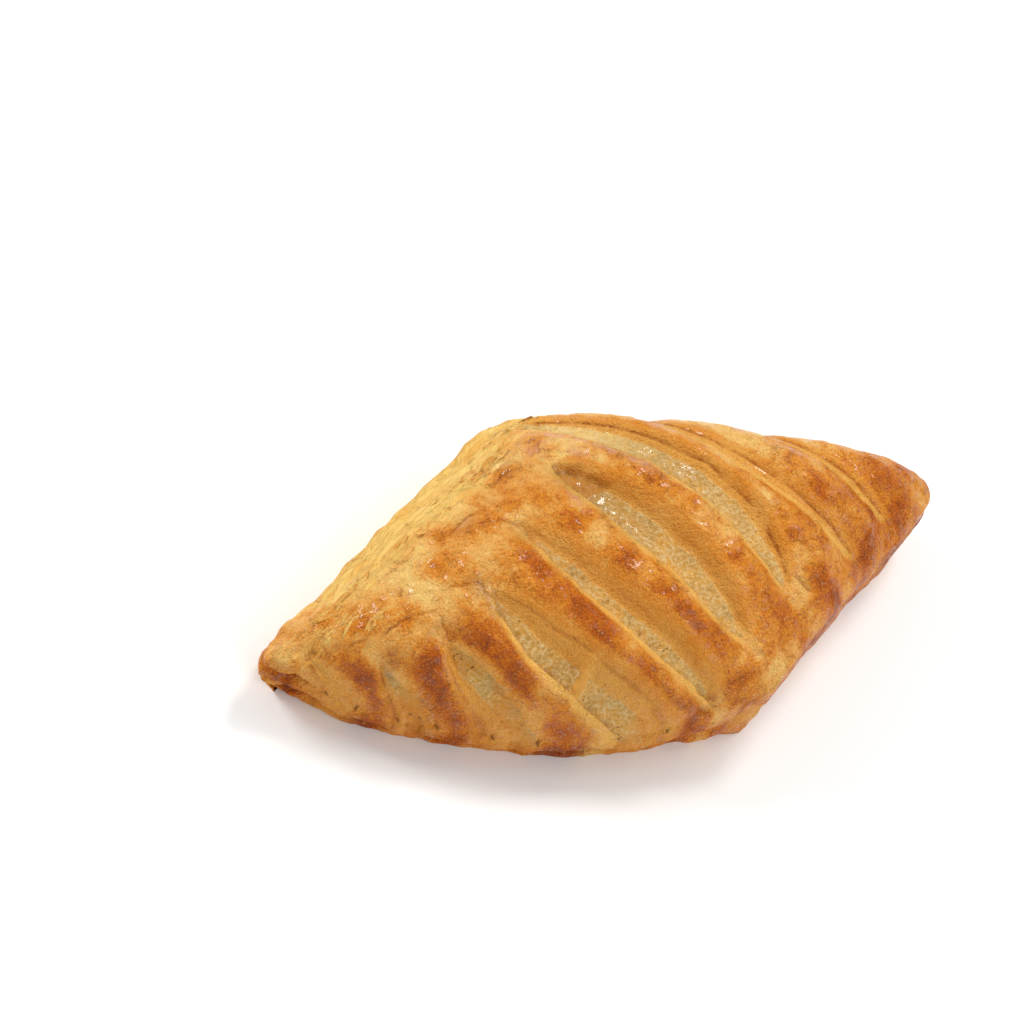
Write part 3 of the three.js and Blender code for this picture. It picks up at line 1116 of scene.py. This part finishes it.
class Board:
    """The node tree of one material."""

    def __init__(self, name: str) -> None:
        """Makes an empty node material."""
        self.material = bpy.data.materials.new(name)
        self.material.use_nodes = True
        self.tree = self.material.node_tree
        self.tree.nodes.clear()

    def node(self, kind: str, settings: dict[str, Any], inputs: dict[Any, Any]) -> Added:
        """Adds a node.

        Args:
            kind: the node's type.
            settings: its properties, set first. A ramp's "stops" is a list of (place, colour).
            inputs: values or wires by socket name or number.

        Returns:
            The added node.
        """
        node = self.tree.nodes.new(kind)
        for key, value in settings.items():
            if key == "stops":
                while len(node.color_ramp.elements) < len(value):
                    node.color_ramp.elements.new(0.5)
                for element, (place, colour) in zip(node.color_ramp.elements, value):
                    element.position = place
                    element.color = (*colour, 1.0)
            else:
                setattr(node, key, value)
        for key, value in inputs.items():
            if isinstance(value, Wire):
                self.tree.links.new(value.socket, node.inputs[key])
            else:
                node.inputs[key].default_value = value
        return Added(self, node)

    def attribute(self, name: str) -> Wire:
        """A value that the vertices carry."""
        return self.node("ShaderNodeAttribute", {"attribute_name": name}, {}).out("Fac")

    def place(self) -> Wire:
        """Object coordinates in millimetres."""
        where = self.node("ShaderNodeTexCoord", {}, {}).out("Object")
        inputs = {0: where, "Scale": 1.0 / MM}
        return self.node("ShaderNodeVectorMath", {"operation": "SCALE"}, inputs).out(0)

    def dot(self, vector: Wire, direction: Triple) -> Wire:
        """Length of a vector along a direction."""
        inputs = {0: vector, 1: direction}
        return self.node("ShaderNodeVectorMath", {"operation": "DOT_PRODUCT"}, inputs).out("Value")

    def vector(self, x: Any, y: Any, z: Any) -> Wire:
        """A vector from three values."""
        return self.node("ShaderNodeCombineXYZ", {}, {0: x, 1: y, 2: z}).out(0)

    def noise(self, where: Wire, size: float, detail: float, rough: float) -> Wire:
        """Noise from about 0.25 to 0.75 with lumps of that size in mm."""
        inputs = {"Vector": where, "Scale": 1.0 / size, "Detail": detail, "Roughness": rough}
        return self.node("ShaderNodeTexNoise", {}, inputs).out("Fac")

    def cells(self, where: Wire, size: float) -> Wire:
        """Distance to the border of irregular cells, in cell sizes."""
        inputs = {"Vector": where, "Scale": 1.0 / size}
        return self.node("ShaderNodeTexVoronoi", {"feature": "DISTANCE_TO_EDGE"}, inputs).out("Distance")

    def scatter(self, where: Wire, size: float) -> Wire:
        """Distance to the nearest of many scattered points, in cell sizes."""
        return self.node("ShaderNodeTexVoronoi", {}, {"Vector": where, "Scale": 1.0 / size}).out("Distance")

    def moved(self, where: Wire, by: Wire, reach: float) -> Wire:
        """A place moved a little by a value."""
        shift = self.vector(by * reach, by * -reach, by * reach)
        return self.node("ShaderNodeVectorMath", {"operation": "ADD"}, {0: where, 1: shift}).out(0)

    def mix(self, share: Any, first: Any, second: Any) -> Wire:
        """Mixes two colours.

        Args:
            share: how much of the second shows.
            first: colour as three numbers or a wire.
            second: the same.

        Returns:
            The mixed colour.
        """
        colours = [c if isinstance(c, Wire) else (*c, 1.0) for c in (first, second)]
        settings = {"data_type": "RGBA", "clamp_factor": True}
        return self.node("ShaderNodeMix", settings, {0: share, 6: colours[0], 7: colours[1]}).out(2)

    def over(self, colour: Any, *layers: tuple[Any, Any]) -> Wire:
        """Lays colours over a colour.

        Args:
            colour: the lowest one.
            layers: pairs of share and colour, from the lowest up.

        Returns:
            What shows from above.
        """
        for share, upper in layers:
            colour = self.mix(share, colour, upper)
        return colour

    def ramp(self, value: Wire, stops: list[tuple[float, Triple]]) -> Wire:
        """Colour by value through a ramp."""
        return self.node("ShaderNodeValToRGB", {"stops": stops}, {"Fac": value}).out("Color")

    def bump(self, height: Wire, strength: float, distance: float) -> Wire:
        """A normal from a height in mm."""
        inputs = {"Height": height, "Strength": strength, "Distance": distance}
        return self.node("ShaderNodeBump", {}, inputs).out("Normal")

    def finish(self, inputs: dict[str, Any]) -> bpy.types.Material:
        """Closes the board with one Principled shader and an output."""
        shader = self.node("ShaderNodeBsdfPrincipled", {}, inputs)
        self.node("ShaderNodeOutputMaterial", {}, {"Surface": shader.out("BSDF")})
        return self.material


def tone(red: int, green: int, blue: int) -> Triple:
    """Linear colour of a tone that is seen as these display values."""
    values = (c / 255.0 for c in (red, green, blue))
    return tuple(c / 12.92 if c <= 0.04045 else ((c + 0.055) / 1.055) ** 2.4 for c in values)


# --- finishes ---


@dataclass(frozen=True)
class CrustFinish:
    """Egg-washed crust, browned by the values that the vertices carry, with painted shade in creases,
    cracks, pores, leaf gaps and beside the lips, painted highlight on the lips, painted light on some floors
    and painted pink reflections.
    """

    name: str = "Baked_crust"
    pale: Triple = tone(244, 200, 116)
    gold: Triple = tone(236, 172, 86)
    orange: Triple = tone(224, 138, 36)
    brown: Triple = tone(194, 98, 10)
    dark: Triple = tone(152, 66, 2)
    # Pink that stands in for the glaze's soft reflection: painted reflection.
    blush: Triple = tone(220, 146, 112)
    leaf: Triple = tone(240, 198, 108)
    lit_cream: Triple = tone(255, 210, 124)
    # Leaf shade and leaf gap: painted shade in the grooves and gaps between the leaves.
    leaf_shade: Triple = tone(226, 168, 76)
    leaf_gap_shade: Triple = tone(198, 122, 38)
    side: Triple = tone(230, 162, 68)
    # Crease: painted shade, for the creases along the slashes and for the fine cracks.
    crease: Triple = tone(160, 78, 12)
    # Lip: the pale cut edge, partly painted highlight.
    lip: Triple = tone(246, 190, 92)
    floor: Triple = tone(204, 158, 84)
    floor_pale: Triple = tone(236, 206, 148)
    floor_gold: Triple = tone(220, 162, 72)
    floor_dark_and_shade: Triple = tone(168, 118, 50)
    # Pore: painted shade inside the small holes of the floor.
    pore: Triple = tone(116, 66, 14)
    coat_roughness: float = 0.09
    specular: float = 0.16
    glow: float = 0.08
    glow_radius: Triple = (1.0, 0.5, 0.15)

    def skin(self, board: Board, toast: Wire, mottle: Wire, grain: Wire) -> Wire:
        """Colour of the glazed skin.

        Args:
            board: the board to build on.
            toast: how brown it is.
            mottle: noise of 1 to 2 mm about 0.
            grain: finer noise about 0.

        Returns:
            The colour.
        """
        stops = [
            (0.02, self.pale),
            (0.28, self.gold),
            (0.5, self.orange),
            (0.76, self.brown),
            (1.0, self.dark),
        ]
        colour = board.ramp(toast + mottle * 0.62 + grain * 0.5, stops)
        # Pink patches near the crown: painted reflection on the glossy glaze.
        pink_sheen = (board.attribute("blush") + mottle * 1.2 - 0.2).smooth(0.0, 0.6)
        where = board.place()
        flecks = board.noise(where, 0.42, 1.0, 0.5)
        pale = flecks.smooth(0.58, 0.72) * (mottle + 0.5).smooth(0.42, 0.66)
        burnt = flecks.smooth(0.44, 0.3) * (toast + mottle).smooth(0.3, 0.7)
        freckles = board.scatter(board.moved(where, mottle, 1.6), 1.1) + grain * 0.5
        freckled = freckles.smooth(0.26, 0.08) * toast.smooth(0.3, 0.6)
        return board.over(
            colour,
            (pink_sheen * 0.6, self.blush),
            (pale * 0.5, self.leaf),
            (burnt * 0.6, self.dark),
            (freckled * 0.45, self.dark),
        )

    def leaves(self, board: Board, layered: Wire, toast: Wire) -> Wire:
        """Colour of the open edges of the leafy dough, with painted shade in the grooves and gaps between
        the leaves.

        Args:
            board: the board to build on.
            layered: streaks along the leaves.
            toast: how brown it is.

        Returns:
            The colour.
        """
        cloud = board.noise(board.place(), 7.0, 3.0, 0.6)
        browned = (toast + cloud * 0.5 - 0.55).smooth(0.0, 0.5)
        return board.over(
            self.leaf_shade,
            ((layered * 0.7 + cloud * 0.3).smooth(0.4, 0.56), self.leaf),
            (layered.smooth(0.43, 0.3) * 0.75, self.leaf_gap_shade),
            (browned * 0.85, self.orange),
        )

    def bed(self, board: Board, where: Wire, fibre: Wire, holes: Wire, toast: Wire, lip: Wire) -> Wire:
        """Colour of the soft dough on the floor of a slash.

        Args:
            board: the board to build on.
            where: place in mm.
            fibre: fine threads about 0.5.
            holes: 1 in a pore.
            toast: how brown it is.
            lip: distance from the lip in mm.

        Returns:
            The colour.
        """
        cloud = board.noise(where, 3.4, 2.0, 0.5)
        walls = board.cells(board.moved(where, fibre, 2.6), 1.1)
        thread = fibre * 0.75 + walls.smooth(0.3, 0.0) * 0.14
        return board.over(
            self.floor,
            (cloud.smooth(0.38, 0.62), self.floor_gold),
            # Cream upper floors: partly pale dough, partly painted light.
            (board.attribute("pale") * (cloud + 0.4).least(1.0), self.lit_cream),
            # Pale and dark threads: the crumb's fibres, partly their own tone and partly painted highlight
            # and shade on its bubbles.
            (thread.smooth(0.4, 0.6) * 0.7, self.floor_pale),
            (thread.smooth(0.4, 0.24) * 0.55, self.floor_dark_and_shade),
            # Darker beside the lip: painted shade where the steep lip shades the floor.
            ((lip + cloud * 2.0).smooth(2.4, 0.8) * 0.4, self.floor_dark_and_shade),
            ((toast - 0.38).smooth(0.0, 0.3) * 0.7, self.orange),
            ((toast - 0.6).smooth(0.0, 0.45) * 0.7, self.brown),
            (holes * 0.7, self.pore),
        )

    def build(self) -> bpy.types.Material:
        """Builds the material.

        Returns:
            The node material.
        """
        board = Board(self.name)
        where = board.place()
        cos, sin = math.cos(DOUGH.turn), math.sin(DOUGH.turn)
        along = board.dot(where, (cos, sin, 0.0))
        beside = board.dot(where, (sin, -cos, 0.0))
        lip, flank, inner = (board.attribute(name) for name in ("lip", "flank", "inner"))
        wet, web, soft = (board.attribute(name) for name in ("wet", "web", "side"))

        broad = board.noise(where, 5.0, 3.0, 0.55) - 0.5
        mottle = board.noise(where, 1.5, 3.0, 0.62) - 0.5
        grain = board.noise(where, 0.45, 2.0, 0.6) - 0.5
        toast = board.attribute("toast") + broad * 0.6

        bend = board.attribute("deep") + broad * 3.4 + mottle * 0.8
        sheet = board.vector(bend / 0.8, along / 14.0, beside / 30.0)
        streak = board.noise(sheet, 1.0, 3.0, 0.6)
        fine = board.noise(board.vector(bend / 0.22, along / 5.0, beside / 20.0), 1.0, 2.0, 0.6)
        layered = streak * 0.55 + fine * 0.45
        leaf_mask = (board.attribute("leafy") + (streak - 0.5) * 1.5 + mottle * 0.9).smooth(0.18, 0.78)

        lines = board.noise(board.vector(flank / 0.7, beside / 8.0, along / 30.0), 1.0, 3.0, 0.6)
        warm = (flank * 0.28 + 0.35 + (lines - 0.5) * 0.9 + mottle + (toast - 0.4) * 0.8).smooth(0.0, 1.0)
        side = board.mix(warm, self.side, self.orange)
        band = (soft + mottle * 0.9).smooth(0.1, 0.95)
        # Bright rim beside the lip: partly the pale cut edge, partly painted highlight on its rounded edge.
        rim = (board.attribute("rim") + mottle * 0.9).smooth(0.15, 1.1)
        # The dark line along the far skin edge of a slash is painted shade in the crease under the next
        # strip.
        wander = board.attribute("edge") + mottle * 0.8
        crease = (1.0 - wander / 0.45).most(0.0).least(1.0) * (board.attribute("fold") * 2.4).least(1.0)
        crease = crease * (broad + 0.55).smooth(0.35, 0.65)

        # Fine cracks painted dark: painted shade in them, and the bump sinks them as well.
        crackle = board.noise(board.moved(where, mottle, 1.2), 3.0, 4.0, 0.6)
        crackle = (1.0 - abs(crackle - 0.5) / 0.016).most(0.0) * (broad + 0.5).smooth(0.48, 0.66)
        crackle = (crackle * (1.0 - band)).most(board.attribute("crack") * 0.8)

        fibre = board.noise(board.moved(where, mottle, 0.6), 0.7, 4.0, 0.7)
        # Pores painted dark: painted shade inside the small holes.
        spots = board.scatter(board.moved(where, mottle, 2.2), 1.5) + mottle * 0.5
        chance = board.noise(where, 3.4, 1.0, 0.5) - lip * 0.05
        holes = spots.smooth(0.26, 0.1) * chance.smooth(0.5, 0.6) * (1.0 - web)
        holes = holes * inner.smooth(0.1, 0.5)
        floor = self.bed(board, where, fibre, holes, toast, lip)
        floor = board.mix(web.smooth(0.1, 0.4) * 0.8, floor, self.side)
        stray = mottle * (0.3 + soft * 3.6) + broad * soft * 2.2
        cut = ((inner + soft * 0.3 + stray) / (0.22 + soft * 1.9)).smooth(0.0, 1.0)

        colour = board.over(
            self.skin(board, toast, mottle, grain),
            (leaf_mask, self.leaves(board, layered, toast)),
            (band * 0.8, side),
            (rim * 0.7, self.lip),
            (crease * 0.8, self.crease),
            (crackle * 0.6, self.crease),
            (cut, floor),
        )
        off_leaf = 1.0 - leaf_mask
        height = (
            (mottle * 1.1 + grain * 0.8 + wet * grain) * off_leaf * (1.0 - cut)
            + (layered - 0.5) * leaf_mask * 1.3
            + band * (lines - 0.5) * 0.12
            - crease * 0.2
            + cut * ((fibre - 0.5) * (0.7 + wet * 0.7) - holes * 0.3)
            - crackle * 0.22
        )
        rough = 0.5 + grain * 0.3 + leaf_mask * 0.12 + cut * 0.06 - wet * 0.34
        glaze = off_leaf * (1.0 - cut) * (mottle * 2.4 + 0.15).most(0.0)
        coat = (wet * (0.7 + mottle * 3.0)).most(0.0) + glaze
        return board.finish(
            {
                "Base Color": colour,
                "Roughness": rough,
                "Coat Weight": coat.least(1.0),
                "Coat Roughness": self.coat_roughness,
                "Specular IOR Level": self.specular,
                "Subsurface Weight": self.glow,
                "Subsurface Radius": self.glow_radius,
                "Subsurface Scale": MM,
                "Normal": board.bump(height, 1.0, MM),
            }
        )


# --- studio ---


@dataclass(frozen=True)
class Lamp:
    """A soft round light that faces the piece."""

    name: str
    place: Triple
    size: float
    power: float

    def build(self) -> None:
        """Adds the light."""
        data = bpy.data.lights.new(self.name, "AREA")
        data.shape = "DISK"
        data.size = self.size
        data.energy = self.power
        lamp = bpy.data.objects.new(self.name, data)
        lamp.location = self.place
        lamp.rotation_euler = (-Vector(self.place)).to_track_quat("-Z", "Y").to_euler()
        bpy.context.scene.collection.objects.link(lamp)


@dataclass(frozen=True)
class Studio:
    """Pale floor, soft lights and the camera."""

    aim: Triple = (4.45, -0.38, 15.0)
    right: Triple = (0.876, -0.383, 0.291)
    up: Triple = (0.2325, 0.868, 0.441)
    distance: float = 600.0
    focal: float = 3090.0
    main_point: Pair = (628.4, 566.1)
    frame_size: float = 1024.0
    floor_half: float = 1.6
    floor_tone: Triple = tone(252, 252, 251)
    floor_roughness: float = 0.6
    room_light: float = 0.42
    sensor: float = 36.0
    clip_start: float = 0.05
    lamps: tuple[Lamp, ...] = (
        Lamp("Key", (-0.62, 0.72, 0.68), 0.4, 6.9),
        Lamp("Fill", (0.2, -0.8, 0.6), 0.8, 3.6),
        Lamp("Top", (0.42, 0.34, 0.95), 0.25, 3.2),
        Lamp("Back", (0.8, 0.1, 0.8), 0.8, 3.4),
    )

    def floor(self) -> None:
        """Adds the floor."""
        bm = bmesh.new()
        bmesh.ops.create_grid(bm, x_segments=2, y_segments=2, size=self.floor_half)
        piece = new_object(bm, "Floor")
        inputs = {"Base Color": (*self.floor_tone, 1.0), "Roughness": self.floor_roughness}
        piece.data.materials.append(Board("Pale_floor").finish(inputs))

    def camera(self) -> None:
        """Adds the camera: it looks along the photograph's axis, turned to centre its frame."""
        right, up = Vector(self.right).normalized(), Vector(self.up)
        up = (up - up.dot(right) * right).normalized()
        back = right.cross(up)
        eye = Vector(self.aim) * MM + back * self.distance * MM
        half = self.frame_size / 2.0
        sideways = (half - self.main_point[0]) / self.focal
        downwards = (half - self.main_point[1]) / self.focal
        back = (back - sideways * right + downwards * up).normalized()
        right = (right - right.dot(back) * back).normalized()
        up = back.cross(right)
        data = bpy.data.cameras.new("Camera")
        data.sensor_width = self.sensor
        data.lens = self.sensor * self.focal / self.frame_size
        data.clip_start = self.clip_start
        camera = bpy.data.objects.new("Camera", data)
        turn = Matrix((right, up, back)).transposed().to_4x4()
        camera.matrix_world = Matrix.Translation(eye) @ turn
        bpy.context.scene.collection.objects.link(camera)
        bpy.context.scene.camera = camera

    def build(self) -> None:
        """Sets up the whole studio."""
        self.floor()
        for lamp in self.lamps:
            lamp.build()
        world = bpy.data.worlds.new("Room")
        world.use_nodes = True
        room = world.node_tree.nodes["Background"].inputs
        room["Color"].default_value = (1.0, 1.0, 1.0, 1.0)
        room["Strength"].default_value = self.room_light
        bpy.context.scene.world = world
        bpy.context.scene.view_settings.view_transform = "Standard"
        self.camera()


# --- the whole piece ---


def settle(piece: bpy.types.Object, material: bpy.types.Material) -> None:
    """Dresses a piece, ties it to the body and reports it."""
    piece.data.materials.clear()
    piece.data.materials.append(material)
    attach(piece, BODY)
    log.info("%s: %d faces", piece.name, len(piece.data.polygons))


def main() -> None:
    """Builds the pieces in order."""
    logging.basicConfig(level=logging.INFO, format="%(message)s")
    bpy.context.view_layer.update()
    crust = CrustFinish().build()
    body = CrustBody().build()
    settle(body, crust)
    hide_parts(NODE)
    settle(LeafFlakes().build(body), crust)
    Studio().build()


if __name__ == "__main__":
    main()
